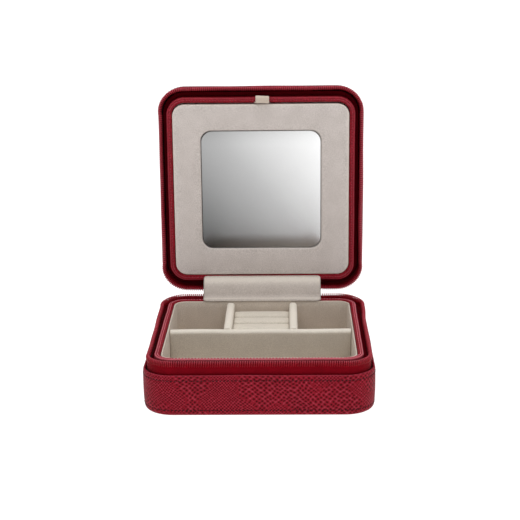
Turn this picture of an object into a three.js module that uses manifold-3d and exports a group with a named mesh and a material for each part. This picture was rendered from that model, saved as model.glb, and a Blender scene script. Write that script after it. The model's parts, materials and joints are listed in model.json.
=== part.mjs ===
// Square zip-around leather jewellery case, standing open with its lid upright. Millimetres, +Z up.
// The origin is the middle of the base's underside. The front is towards -Y and the hinge side towards +Y.
import * as THREE from "three";
import { mergeVertices } from "three/addons/utils/BufferGeometryUtils.js";
import Module from "manifold-3d";

const wasm = await Module();
wasm.setup();

// ---- driving dimensions -------------------------------------------------------------------------
// Each half of the case is built alike: outer skin at z = 0, mouth upwards. "Inset" is how far a
// surface lies inside the case's outer outline.
const CASE_HALF = 57.5; // half the outer width and depth
const CORNER = 15.25; // outer corner radius in plan
const PARTING = 28.1; // height of the plane where the closed halves meet
const GAP = 0.3; // between neighbouring pieces

const LEATHER = 1.2; // thickness of the outer leather
const BAND_TOP = 21.1; // height of the leather side band
const BOARD = 2.0; // floor board under the leather
const BOARD_TOP = 20.8; // top of the board walls, just under the band's edge
const MOUTH = 27.7; // top of the collar and of the zip's coil

const TAPE_INSET = 1.9; // outer face of the zip tape
const TAPE_THICK = 0.7;
const TAPE_FOOT = 10; // how far down the tape is caught between leather and board
const COIL_INSET = 1.4; // outer face of the zip's coil
const COIL_THICK = 1.8;
const COIL_HEIGHT = 3.3;
const ZIP_END_X = 22.6; // the zip stops here on the hinge side, where the spine begins

const COLLAR_INSET = 5.75; // leather-covered inner wall that guides the halves together
const COLLAR_THICK = 2.75;
const LINING_INSET = 8.8; // suede lining inside the collar
const LINING_THICK = 1.0;
const LINING_RIM = 27.2; // lining height in the base
const LID_LINING_RIM = 21.6; // lower in the lid, where the mirror flap rests on it
const FLOOR = LEATHER + BOARD + 2 * GAP + LINING_THICK; // top of the lining's floor

const HINGE_Y = 60; // the lid turns about a line along X at this y, at the parting height
const SPINE_HALF = 22;
const SPINE_THICK = 1.1;
const GUSSET_HALF = 33;
const GUSSET_THICK = 0.5;

const DIVIDER_TOP = 26.7;
const LONG_DIVIDER_Y = -2.1;
const LONG_DIVIDER_THICK = 5.0;
const SIDE_DIVIDER_X = 17.4;
const SIDE_DIVIDER_THICK = 4.0;
const PAD_THICK = 1.4;
const RING_BED_TOP = 10;
const RING_ROLL_TOP = 21.6;
const RING_ROLLS = 4;

const FLAP_INSET = 9.3; // outline of the mirror flap in the lid's mouth
const FLAP_FACE = 27.3;
const FLAP_FACE_THICK = 2.4;
const FLAP_BOARD_THICK = 1.8;
const FLAP_BACK_THICK = 0.6;
const MIRROR_HALF_X = 32.7;
const MIRROR_HALF_Y = 33.2;
const MIRROR_CORNER = 6;
const MIRROR_THICK = 1.5;
const TAB_HALF = 3.75;

const HOOKS = 5;
const HOOK_SPACING = 15;
const HOOK_WIRE = 0.7;

const SLIDER_X = 28.5; // middle of each parked zip slider
const SLIDER_LENGTH = 9;
const PULL_LENGTH = 18;

const CORNER_STEPS = 6;
const INNER_HALF = CASE_HALF - LINING_INSET - LINING_THICK; // half the width inside the lining

// ---- materials ----------------------------------------------------------------------------------
const finish = (color, roughness, metalness = 0) => ({ color, roughness, metalness });
const LIZARD = finish(0x8c1c2c, 0.45);
const INNER_LEATHER = finish(0x8e2434, 0.5);
const TAPE = finish(0x96101e, 0.85);
const COIL = finish(0xa01826, 0.5);
const SUEDE = finish(0xcabfb2, 0.95);
const CUSHION = finish(0xd9d1c6, 0.95);
const CARD = finish(0x7d6a58, 0.9);
const GLASS = finish(0xd8dcdf, 0.03, 1);
const METAL = finish(0xc9c4bb, 0.25, 1);

// ---- geometry helpers ---------------------------------------------------------------------------
// Points of the case's rounded-square outline, moved inwards, counter-clockwise from the middle of +X.
function outline(inset) {
  const half = CASE_HALF - inset;
  const radius = Math.max(CORNER - inset, 0.6);
  const centre = half - radius;
  const points = [];
  for (let corner = 0; corner < 4; corner++) {
    const start = (corner * Math.PI) / 2;
    const sx = corner === 0 || corner === 3 ? 1 : -1;
    const sy = corner < 2 ? 1 : -1;
    for (let step = 0; step <= CORNER_STEPS; step++) {
      const angle = start + (step / CORNER_STEPS) * (Math.PI / 2);
      points.push([sx * centre + radius * Math.cos(angle), sy * centre + radius * Math.sin(angle)]);
    }
  }
  return points;
}

function meshFrom(vertices, faces) {
  const geometry = new THREE.BufferGeometry();
  geometry.setAttribute("position", new THREE.Float32BufferAttribute(vertices.flat(), 3));
  geometry.setIndex(faces.flat());
  return geometry;
}

// Faces joining two rows of vertices, the second row lying above or inside the first.
function strip(faces, lower, upper, count, closed) {
  for (let i = 0; i < (closed ? count : count - 1); i++) {
    const next = (i + 1) % count;
    faces.push([lower + i, lower + next, upper + next]);
    faces.push([lower + i, upper + next, upper + i]);
  }
}

// A plate or an open box: the outline at each [inset, z] in turn, with the first and last capped.
function loft(layers) {
  const rows = layers.map(([inset, z]) => outline(inset).map(([x, y]) => [x, y, z]));
  const count = rows[0].length;
  const vertices = rows.flat();
  const faces = [];
  for (let row = 0; row + 1 < rows.length; row++) strip(faces, row * count, (row + 1) * count, count, true);
  const bottom = vertices.push([0, 0, layers[0][1]]) - 1;
  const top = vertices.push([0, 0, layers.at(-1)[1]]) - 1;
  const last = (rows.length - 1) * count;
  for (let i = 0; i < count; i++) {
    const next = (i + 1) % count;
    faces.push([bottom, next, i]);
    faces.push([top, last + i, last + next]);
  }
  return meshFrom(vertices, faces);
}

// A wall all round the case with the section given as [inset, z] points, up the outside first.
function ring(profile) {
  const rows = profile.map(([inset, z]) => outline(inset).map(([x, y]) => [x, y, z]));
  const count = rows[0].length;
  const faces = [];
  for (let row = 0; row < rows.length; row++) {
    strip(faces, row * count, ((row + 1) % rows.length) * count, count, true);
  }
  return meshFrom(rows.flat(), faces);
}

// The same wall, left open on the hinge side between x = -gapHalf and gapHalf.
function openRing(profile, gapHalf) {
  const turn = CORNER_STEPS + 1;
  const rows = profile.map(([inset, z]) => {
    const points = outline(inset);
    const back = CASE_HALF - inset;
    const route = [[-gapHalf, back], ...points.slice(turn), ...points.slice(0, turn), [gapHalf, back]];
    return route.map(([x, y]) => [x, y, z]);
  });
  const count = rows[0].length;
  const faces = [];
  for (let row = 0; row < rows.length; row++) {
    strip(faces, row * count, ((row + 1) % rows.length) * count, count, false);
  }
  for (let row = 1; row + 1 < rows.length; row++) {
    faces.push([0, row * count, (row + 1) * count]);
    faces.push([count - 1, (row + 2) * count - 1, (row + 1) * count - 1]);
  }
  return meshFrom(rows.flat(), faces);
}

function block(x0, x1, y0, y1, z0, z1) {
  const box = new THREE.BoxGeometry(x1 - x0, y1 - y0, z1 - z0);
  return box.translate((x0 + x1) / 2, (y0 + y1) / 2, (z0 + z1) / 2);
}

function extrude(shape, depth, curveSegments = CORNER_STEPS) {
  return new THREE.ExtrudeGeometry(shape, { depth, bevelEnabled: false, curveSegments });
}

// A [y, z] section carried along X.
function alongX(shape, x0, x1, curveSegments) {
  const basis = new THREE.Matrix4().makeBasis(
    new THREE.Vector3(0, 1, 0),
    new THREE.Vector3(0, 0, 1),
    new THREE.Vector3(1, 0, 0),
  );
  return extrude(shape, x1 - x0, curveSegments).applyMatrix4(basis).translate(x0, 0, 0);
}

// An [x, z] section carried along Y.
function alongY(shape, y0, y1, curveSegments) {
  const basis = new THREE.Matrix4().makeBasis(
    new THREE.Vector3(1, 0, 0),
    new THREE.Vector3(0, 0, 1),
    new THREE.Vector3(0, -1, 0),
  );
  return extrude(shape, y1 - y0, curveSegments).applyMatrix4(basis).translate(0, y1, 0);
}

const polygon = (points) => new THREE.Shape(points.map(([a, b]) => new THREE.Vector2(a, b)));

function roundedRectangle(halfX, halfY, radius) {
  const shape = new THREE.Shape();
  shape.absarc(halfX - radius, halfY - radius, radius, 0, Math.PI / 2);
  shape.absarc(radius - halfX, halfY - radius, radius, Math.PI / 2, Math.PI);
  shape.absarc(radius - halfX, radius - halfY, radius, Math.PI, 1.5 * Math.PI);
  shape.absarc(halfX - radius, radius - halfY, radius, 1.5 * Math.PI, 2 * Math.PI);
  return shape;
}

// An upright wall section with a rounded top.
function roundTopped(middle, thick, z0, z1, radius = thick / 2) {
  const shape = new THREE.Shape();
  shape.moveTo(middle - thick / 2, z0);
  shape.lineTo(middle + thick / 2, z0);
  shape.absarc(middle + thick / 2 - radius, z1 - radius, radius, 0, Math.PI / 2);
  shape.absarc(middle - thick / 2 + radius, z1 - radius, radius, Math.PI / 2, Math.PI);
  return shape;
}

function solid(geometry) {
  const bare = geometry.index ? geometry.clone() : geometry;
  bare.deleteAttribute("normal");
  bare.deleteAttribute("uv");
  const merged = mergeVertices(bare, 1e-4);
  return new wasm.Manifold(
    new wasm.Mesh({
      numProp: 3,
      vertProperties: merged.getAttribute("position").array,
      triVerts: new Uint32Array(merged.index.array),
    }),
  );
}

function fromSolid(body) {
  const mesh = body.getMesh();
  const geometry = new THREE.BufferGeometry();
  geometry.setAttribute("position", new THREE.BufferAttribute(mesh.vertProperties, 3));
  geometry.setIndex(new THREE.BufferAttribute(mesh.triVerts, 1));
  return geometry;
}

const join = (...pieces) => fromSolid(pieces.map(solid).reduce((whole, piece) => whole.add(piece)));
const cut = (whole, tool) => fromSolid(solid(whole).subtract(solid(tool)));

function add(group, name, geometry, look) {
  const piece = new THREE.Mesh(geometry, new THREE.MeshStandardMaterial(look));
  piece.name = name;
  group.add(piece);
}

// ---- what both halves share ---------------------------------------------------------------------
function halfCase(group, half, skinName, liningRim) {
  const skinEdge = LEATHER + GAP;
  add(group, skinName, loft([[skinEdge, 0], [skinEdge, LEATHER]]), LIZARD);

  const bandFoot = [[LEATHER, 0], [0.35, 0.35], [0, LEATHER]];
  const bandRim = [[0, BAND_TOP - 0.4], [0.4, BAND_TOP], [LEATHER, BAND_TOP]];
  add(group, `${half}_leather_band`, ring([...bandFoot, ...bandRim]), LIZARD);

  const tapeBack = TAPE_INSET + TAPE_THICK + GAP;
  const wallBack = COLLAR_INSET - GAP;
  const underside = LEATHER + GAP;
  const boxOut = [[skinEdge, underside], [skinEdge, TAPE_FOOT - GAP], [tapeBack, TAPE_FOOT - GAP]];
  const boxIn = [[tapeBack, BOARD_TOP], [wallBack, BOARD_TOP], [wallBack, underside + BOARD]];
  add(group, `${half}_board_shell`, loft([...boxOut, ...boxIn]), CARD);

  const tapeIn = TAPE_INSET + TAPE_THICK;
  const tapeTop = MOUTH - COIL_HEIGHT - GAP;
  const tape = [[TAPE_INSET, TAPE_FOOT], [TAPE_INSET, tapeTop], [tapeIn, tapeTop], [tapeIn, TAPE_FOOT]];
  add(group, `${half}_zip_tape`, openRing(tape, ZIP_END_X), TAPE);

  const coilIn = COIL_INSET + COIL_THICK;
  const coilFoot = MOUTH - COIL_HEIGHT;
  const coilOuter = [[COIL_INSET, coilFoot], [COIL_INSET, MOUTH - 0.3], [COIL_INSET + 0.3, MOUTH]];
  const coilInner = [[coilIn - 0.3, MOUTH], [coilIn, MOUTH - 0.3], [coilIn, coilFoot]];
  add(group, `${half}_zip_coil`, openRing([...coilOuter, ...coilInner], ZIP_END_X), COIL);

  const collarIn = COLLAR_INSET + COLLAR_THICK;
  const collarFoot = underside + BOARD + GAP;
  const round = 0.65;
  const collarOuter = [[COLLAR_INSET, collarFoot], [COLLAR_INSET, MOUTH - round], [COLLAR_INSET + round, MOUTH]];
  const collarInner = [[collarIn - round, MOUTH], [collarIn, MOUTH - round], [collarIn, collarFoot]];
  add(group, `${half}_collar`, ring([...collarOuter, ...collarInner]), INNER_LEATHER);

  const liningIn = LINING_INSET + LINING_THICK;
  const liningOut = [[LINING_INSET, collarFoot], [LINING_INSET, liningRim]];
  add(group, `${half}_suede_lining`, loft([...liningOut, [liningIn, liningRim], [liningIn, FLOOR]]), SUEDE);
}

// ---- the tray in the base -----------------------------------------------------------------------
function tray(group) {
  const foot = FLOOR + GAP;
  const padTop = foot + PAD_THICK;
  const reach = INNER_HALF - GAP;
  const longFront = LONG_DIVIDER_Y - LONG_DIVIDER_THICK / 2;
  const longBack = LONG_DIVIDER_Y + LONG_DIVIDER_THICK / 2;
  const sideInner = SIDE_DIVIDER_X - SIDE_DIVIDER_THICK / 2;
  const sideOuter = SIDE_DIVIDER_X + SIDE_DIVIDER_THICK / 2;

  const longSection = roundTopped(LONG_DIVIDER_Y, LONG_DIVIDER_THICK, foot, DIVIDER_TOP, 1.6);
  add(group, "long_divider", alongX(longSection, -reach, reach, 4), CUSHION);

  const padDepth = reach + longFront - GAP;
  const frontPad = extrude(roundedRectangle(reach - GAP, padDepth / 2, 4.5), PAD_THICK);
  add(group, "front_tray_pad", frontPad.translate(0, longFront - GAP - padDepth / 2, foot), SUEDE);

  for (const [side, name] of [[-1, "left"], [1, "right"]]) {
    const section = roundTopped(side * SIDE_DIVIDER_X, SIDE_DIVIDER_THICK, foot, DIVIDER_TOP, 1.6);
    add(group, `${name}_divider`, alongY(section, longBack + GAP, reach, 4), CUSHION);
    const halfX = (reach - sideOuter) / 2 - GAP;
    const halfY = (reach - longBack) / 2 - GAP;
    const pad = extrude(roundedRectangle(halfX, halfY, 4.5), PAD_THICK);
    pad.translate((side * (reach + sideOuter)) / 2, (reach + longBack) / 2, foot);
    add(group, `${name}_tray_pad`, pad, SUEDE);
  }

  const bedHalf = sideInner - GAP;
  const bedFront = longBack + GAP;
  add(group, "ring_cushion_bed", block(-bedHalf, bedHalf, bedFront, reach, foot, RING_BED_TOP), CARD);
  const pitch = (reach - bedFront) / RING_ROLLS;
  for (let roll = 0; roll < RING_ROLLS; roll++) {
    const middle = bedFront + (roll + 0.5) * pitch;
    const section = roundTopped(middle, pitch - GAP, RING_BED_TOP + GAP, RING_ROLL_TOP, 4.2);
    add(group, `ring_roll_${roll + 1}`, alongX(section, -bedHalf, bedHalf, 4), CUSHION);
  }
}

// ---- what the lid holds behind the mirror ---------------------------------------------------------
function necklaceFittings(group) {
  const foot = FLOOR + GAP;
  const barTop = foot + 3;
  add(group, "necklace_hook_bar", block(-38, 38, -43, -37, foot, barTop), SUEDE);
  for (let hook = 0; hook < HOOKS; hook++) {
    const x = (hook - (HOOKS - 1) / 2) * HOOK_SPACING;
    const route = new THREE.CatmullRomCurve3([
      new THREE.Vector3(x, -39.5, barTop + GAP),
      new THREE.Vector3(x, -39.5, barTop + 2.4),
      new THREE.Vector3(x, -40.6, barTop + 4.4),
      new THREE.Vector3(x, -43.2, barTop + 4.9),
      new THREE.Vector3(x, -45.0, barTop + 4.6),
    ]);
    const wire = new THREE.Shape().absarc(0, 0, HOOK_WIRE, 0, 2 * Math.PI);
    const options = { steps: 10, extrudePath: route, curveSegments: 4, bevelEnabled: false };
    add(group, `necklace_hook_${hook + 1}`, new THREE.ExtrudeGeometry(wire, options), METAL);
  }
  const pocketTop = foot + 5.9;
  const outside = block(-40, 40, 8, 45.5, foot, pocketTop);
  const inside = block(-38.8, 38.8, 6, 44.3, foot - 1, pocketTop - 1.2);
  add(group, "necklace_pocket", cut(outside, inside), SUEDE);
}

// ---- mirror flap ----------------------------------------------------------------------------------
function mirrorFlap(group) {
  const faceFoot = FLAP_FACE - FLAP_FACE_THICK;
  const boardTop = faceFoot - GAP;
  const boardFoot = boardTop - FLAP_BOARD_THICK;
  const backTop = boardFoot - GAP;
  const inset = FLAP_INSET + 0.1;
  add(group, "flap_board", loft([[inset, boardFoot], [inset, boardTop]]), CARD);
  add(group, "flap_back_suede", loft([[inset, backTop - FLAP_BACK_THICK], [inset, backTop]]), SUEDE);

  const half = CASE_HALF - FLAP_INSET;
  const face = roundedRectangle(half, half, CORNER - FLAP_INSET);
  const window = roundedRectangle(MIRROR_HALF_X + GAP, MIRROR_HALF_Y + GAP, MIRROR_CORNER);
  face.holes.push(window);
  add(group, "mirror_frame", extrude(face, FLAP_FACE_THICK).translate(0, 0, faceFoot), SUEDE);
  const glass = roundedRectangle(MIRROR_HALF_X, MIRROR_HALF_Y, MIRROR_CORNER);
  add(group, "mirror_glass", extrude(glass, MIRROR_THICK).translate(0, 0, faceFoot), GLASS);

  // a folded ribbon that stands over the collar beside the flap's free edge
  const fold = [[-48.7, 28], [-49.4, 29.0], [-51.2, 30.4], [-52.4, 30.6], [-53, 29.8], [-52.6, 28.6], [-51.4, 28]];
  add(group, "flap_pull_tab", alongX(polygon(fold), -TAB_HALF, TAB_HALF), CUSHION);
}

// ---- hinge side -----------------------------------------------------------------------------------
function hinge(group) {
  // outer leather: up the base's back, round a quarter turn and back along the lid's underside
  const standOff = CASE_HALF + GAP;
  const lidFace = PARTING + HINGE_Y - CASE_HALF - GAP;
  const radius = lidFace - BAND_TOP;
  const bendY = standOff + radius;
  const spine = new THREE.Shape();
  spine.moveTo(standOff, 14);
  spine.absarc(bendY, BAND_TOP, radius, Math.PI, Math.PI / 2, true);
  spine.lineTo(bendY + 7, lidFace);
  spine.lineTo(bendY + 7, lidFace - SPINE_THICK);
  spine.absarc(bendY, BAND_TOP, radius - SPINE_THICK, Math.PI / 2, Math.PI, false);
  spine.lineTo(standOff + SPINE_THICK, 14);
  add(group, "spine_leather", alongX(spine, -SPINE_HALF, SPINE_HALF, 10), LIZARD);

  // suede: from the mirror's lower edge, over the lid's collar, down to the base's collar and over it
  const lidMouthY = HINGE_Y + PARTING - MOUTH;
  const back = lidMouthY - GAP;
  const front = back - GUSSET_THICK;
  const lidCollarTop = PARTING + HINGE_Y - (CASE_HALF - COLLAR_INSET - COLLAR_THICK);
  const lidCollarFoot = PARTING + HINGE_Y - (CASE_HALF - COLLAR_INSET);
  const collarTopY = CASE_HALF - COLLAR_INSET;
  const seat = MOUTH + GAP;
  const behind = [[back, lidCollarTop - 0.4], [back, lidCollarFoot + 0.4], [collarTopY + 0.6, seat + 0.8]];
  const over = [[collarTopY, seat], [collarTopY - COLLAR_THICK, seat]];
  const above = [[collarTopY - COLLAR_THICK, seat + GUSSET_THICK], [collarTopY - 0.2, seat + GUSSET_THICK]];
  const outer = [[front, lidCollarFoot + 0.6], [front, lidCollarTop - 0.4]];
  const gusset = polygon([...behind, ...over, ...above, ...outer].reverse());
  add(group, "hinge_gusset", alongX(gusset, -GUSSET_HALF, GUSSET_HALF), SUEDE);
}

// ---- zip sliders ----------------------------------------------------------------------------------
function zipSlider(group, side, name) {
  const middle = side * SLIDER_X;
  const x0 = middle - SLIDER_LENGTH / 2;
  const x1 = middle + SLIDER_LENGTH / 2;
  const outerFace = CASE_HALF + 0.4;
  const outerPlate = block(x0, x1, outerFace - 0.9, outerFace, PARTING - 3.2, PARTING + 2.3);
  const innerBack = CASE_HALF - COIL_INSET - COIL_THICK - 0.4;
  const innerPlate = block(x0, x1, innerBack - 0.9, innerBack, PARTING - 3.2, PARTING + 1);
  const leading = side > 0 ? x1 : x0 + 3;
  const post = block(leading - 3, leading, innerBack - 0.2, outerFace - 0.4, PARTING - 0.2, PARTING + 0.2);
  const barY = outerFace + 1.4;
  const circle = new THREE.Shape().absarc(barY, PARTING, 0.4, 0, 2 * Math.PI);
  const bar = alongX(circle, middle - 3.2, middle + 3.2, 3);
  const feet = [-1, 1].map((end) => {
    const x = middle + end * 2.8;
    return block(x - 0.4, x + 0.4, outerFace - 0.4, barY + 0.2, PARTING - 0.4, PARTING + 0.4);
  });
  add(group, `zip_slider_${name}`, join(outerPlate, innerPlate, post, bar, ...feet), METAL);

  // the pull hangs from the slider's bail
  const eye = new THREE.Shape().absarc(barY, PARTING, 1.25, 0, 2 * Math.PI);
  eye.holes.push(new THREE.Path().absarc(barY, PARTING, 0.65, 0, 2 * Math.PI));
  const eyeRing = alongX(eye, middle - 0.8, middle + 0.8, 4);
  const top = -0.95;
  const blade = new THREE.Shape();
  blade.moveTo(-1, top);
  blade.lineTo(-2.6, top - 10);
  blade.absarc(0, top - PULL_LENGTH + 2.6, 2.6, Math.PI, 2 * Math.PI);
  blade.lineTo(2.6, top - 10);
  blade.lineTo(1, top);
  const slot = new THREE.Path().absarc(0, top - PULL_LENGTH + 2.6, 1.3, 0, 2 * Math.PI);
  blade.holes.push(slot);
  const plate = alongY(blade, barY - 0.4, barY + 0.4, 6).translate(middle, 0, PARTING);
  add(group, `zip_pull_${name}`, join(eyeRing, plate), METAL);
}

// ---- assembly -------------------------------------------------------------------------------------
const jewelleryCase = new THREE.Group();

const base = new THREE.Group();
halfCase(base, "base", "base_bottom_leather", LINING_RIM);
tray(base);
jewelleryCase.add(base);

// The lid is the same half turned over onto the hinge side, so its outer skin faces back and its
// mouth faces the front: (x, y, z) goes to (-x, HINGE_Y + PARTING - z, HINGE_Y + PARTING - y).
const lid = new THREE.Group();
halfCase(lid, "lid", "lid_top_leather", LID_LINING_RIM);
necklaceFittings(lid);
const hingeTapeY = CASE_HALF - LINING_INSET;
const hingeTape = block(-42, 42, hingeTapeY - 0.3, hingeTapeY + 0.1, LID_LINING_RIM + GAP, FLAP_FACE - GAP);
add(lid, "flap_hinge_tape", hingeTape, CUSHION);
mirrorFlap(lid);
lid.quaternion.setFromAxisAngle(new THREE.Vector3(0, 1, -1).normalize(), Math.PI);
lid.position.set(0, HINGE_Y + PARTING, HINGE_Y + PARTING);
jewelleryCase.add(lid);

hinge(jewelleryCase);
zipSlider(jewelleryCase, -1, "left");
zipSlider(jewelleryCase, 1, "right");

export default jewelleryCase;
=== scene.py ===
import json
import math

import bmesh
import bpy
import numpy as np
from mathutils import Matrix, Vector


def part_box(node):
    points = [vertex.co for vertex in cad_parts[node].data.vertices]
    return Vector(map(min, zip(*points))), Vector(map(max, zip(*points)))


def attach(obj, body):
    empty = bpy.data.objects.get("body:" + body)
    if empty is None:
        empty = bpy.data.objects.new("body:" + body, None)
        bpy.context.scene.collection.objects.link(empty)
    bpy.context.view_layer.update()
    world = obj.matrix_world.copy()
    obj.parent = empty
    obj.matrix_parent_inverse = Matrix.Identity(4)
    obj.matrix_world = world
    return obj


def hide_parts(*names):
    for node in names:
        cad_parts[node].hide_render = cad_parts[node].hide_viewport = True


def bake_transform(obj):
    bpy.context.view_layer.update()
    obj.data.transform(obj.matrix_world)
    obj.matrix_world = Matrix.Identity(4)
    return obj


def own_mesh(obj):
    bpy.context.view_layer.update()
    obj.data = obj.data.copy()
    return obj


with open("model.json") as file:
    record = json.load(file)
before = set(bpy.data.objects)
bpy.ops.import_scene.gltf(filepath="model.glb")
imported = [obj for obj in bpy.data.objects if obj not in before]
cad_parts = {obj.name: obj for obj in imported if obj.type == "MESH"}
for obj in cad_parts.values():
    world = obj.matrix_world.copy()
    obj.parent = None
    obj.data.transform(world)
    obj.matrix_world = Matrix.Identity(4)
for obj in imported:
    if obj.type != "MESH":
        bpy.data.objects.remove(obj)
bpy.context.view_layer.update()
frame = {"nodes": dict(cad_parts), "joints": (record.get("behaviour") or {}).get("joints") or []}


# ---- measures read from the frame ----
def span(node):
    low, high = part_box(node)
    return np.array(low) * 1000, np.array(high) * 1000


def joint_place(name):
    found = [joint for joint in frame["joints"] if joint["name"] == name]
    return np.array(found[0]["pos_m"]) * 1000


CASE_HALF = span("base_leather_band")[1][0]
BAND_TOP = span("base_leather_band")[1][2]
TAPE_INSET = CASE_HALF - span("base_zip_tape")[1][0]
TAPE_FOOT = span("base_zip_tape")[0][2]
COIL_INSET = CASE_HALF - span("base_zip_coil")[1][0]
COIL_FOOT = span("base_zip_coil")[0][2]
MOUTH = span("base_zip_coil")[1][2]
COLLAR_INSET = CASE_HALF - span("base_collar")[1][0]
COLLAR_FOOT = span("base_collar")[0][2]
LINING_INSET = CASE_HALF - span("base_suede_lining")[1][0]
LINING_RIM = span("base_suede_lining")[1][2]
BOARD_TOP = span("base_board_shell")[1][2]
HINGE_Y, PARTING = joint_place("lid_hinge")[1:]
TURN = HINGE_Y + PARTING
LID_LINING_RIM = TURN - span("lid_suede_lining")[0][1]
FLOOR = span("front_tray_pad")[0][2] - 0.3

# driving dimensions, in millimetres
CORNER = 15.25  # of the case's outline seen from above
LEATHER = 1.2
TAPE_THICK = 0.7
COIL_THICK = 2.2
COLLAR_THICK = 2.75
LINING_THICK = 1.0
ZIP_END = 22.6  # from the middle of the hinge side, along the outline
COIL_PITCH = 1.12
COIL_WIRE = 0.3
STITCH_PITCH = 1.85
STITCH_LENGTH = 1.3
STITCH_RADIUS = 0.23
SEAM_FROM_EDGE = 2.7

# half of a straight side, one corner's arc, and the way right round the outline
STRAIGHT = CASE_HALF - CORNER
QUARTER = CORNER * math.pi / 2
ROUND = 8 * STRAIGHT + 4 * QUARTER


# ---- points ----
def on_base(points):
    return points


def on_lid(points):
    return np.stack([-points[..., 0], TURN - points[..., 2], TURN - points[..., 1]], -1)


PLACES = {"base": on_base, "lid": on_lid}


def clamp(value):
    return np.clip(value, 0, 1)


def smooth(value):
    """0 up to 0 and 1 from 1 on, with an eased slope between."""
    value = clamp(value)
    return value * value * (3 - 2 * value)


def bell(offset, width):
    """1 where the offset is 0, and next to nothing beyond twice the width."""
    return np.exp(-((offset / width) ** 2))


def unit(vectors):
    return vectors / np.linalg.norm(vectors, axis=-1, keepdims=True)


def arc(centre, radius, start, end, steps):
    angle = np.radians(np.linspace(start, end, steps + 1))
    return np.stack([centre[0] + radius * np.cos(angle), centre[1] + radius * np.sin(angle)], -1)


def rim(along):
    """Point and outward direction on the case's outline, along mm from the middle of the hinge side."""
    side = 2 * STRAIGHT + QUARTER
    shifted = np.mod(np.asarray(along, float) + STRAIGHT, ROUND)
    turns = np.floor(shifted / side)
    rest = shifted - turns * side
    bend = np.clip((rest - 2 * STRAIGHT) / CORNER, 0, None)
    on_arc = rest > 2 * STRAIGHT
    x = np.where(on_arc, -STRAIGHT - CORNER * np.sin(bend), STRAIGHT - rest)
    y = np.where(on_arc, STRAIGHT + CORNER * np.cos(bend), CASE_HALF)
    spin = turns * math.pi / 2
    cos, sin = np.cos(spin), np.sin(spin)
    point = np.stack([x * cos - y * sin, x * sin + y * cos], -1)
    facing = bend + spin
    return point, np.stack([-np.sin(facing), np.cos(facing)], -1)


def drift(along, seed, size, waves=(2, 3, 5, 8, 13)):
    """A slow unevenness round the outline, the same on every run."""
    phases = np.random.default_rng(seed).uniform(0, 2 * math.pi, len(waves))
    total = sum(np.cos(2 * math.pi * wave * along / ROUND + phase) for wave, phase in zip(waves, phases))
    return size * total / math.sqrt(len(waves))


def wall(along, section, shape=None):
    """The section, as [inset, height, scale] rows, carried round the outline."""
    point, out = rim(along)
    inset = np.broadcast_to(section[:, 0], (len(along), len(section)))
    height = np.broadcast_to(section[:, 1], inset.shape)
    if shape is not None:
        inset, height = shape(along[:, None], inset, height, out[:, None])
    plan = point[:, None] - out[:, None] * inset[..., None]
    if section.shape[1] == 3:
        plan = plan * section[None, :, 2:]
    return np.concatenate([plan, height[..., None]], -1)


def rounded(half_x, half_y, radius, quarter=8, straight=16):
    """A rounded rectangle's points, counter-clockwise, always the same number of them."""
    radius = max(radius, 0.05)
    angle = np.linspace(0, math.pi / 2, quarter + 1)
    arcs = []
    for corner in range(4):
        sx = 1 if corner in (0, 3) else -1
        sy = 1 if corner < 2 else -1
        turned = angle + corner * math.pi / 2
        x = sx * (half_x - radius) + radius * np.cos(turned)
        y = sy * (half_y - radius) + radius * np.sin(turned)
        arcs.append(np.stack([x, y], -1))
    points = []
    for corner in range(4):
        points.append(arcs[corner])
        points.append(np.linspace(arcs[corner][-1], arcs[(corner + 1) % 4][0], straight + 2)[1:-1])
    return np.concatenate(points)


# ---- one piece's mesh ----
def lengths(points, axis):
    steps = np.linalg.norm(np.diff(points, axis=axis), axis=-1)
    return np.concatenate([[0], np.cumsum(steps.mean(1 - axis))])


def quads(values):
    corners = [values[:-1, :-1], values[1:, :-1], values[1:, 1:], values[:-1, 1:]]
    return np.stack(corners, 2)


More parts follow.
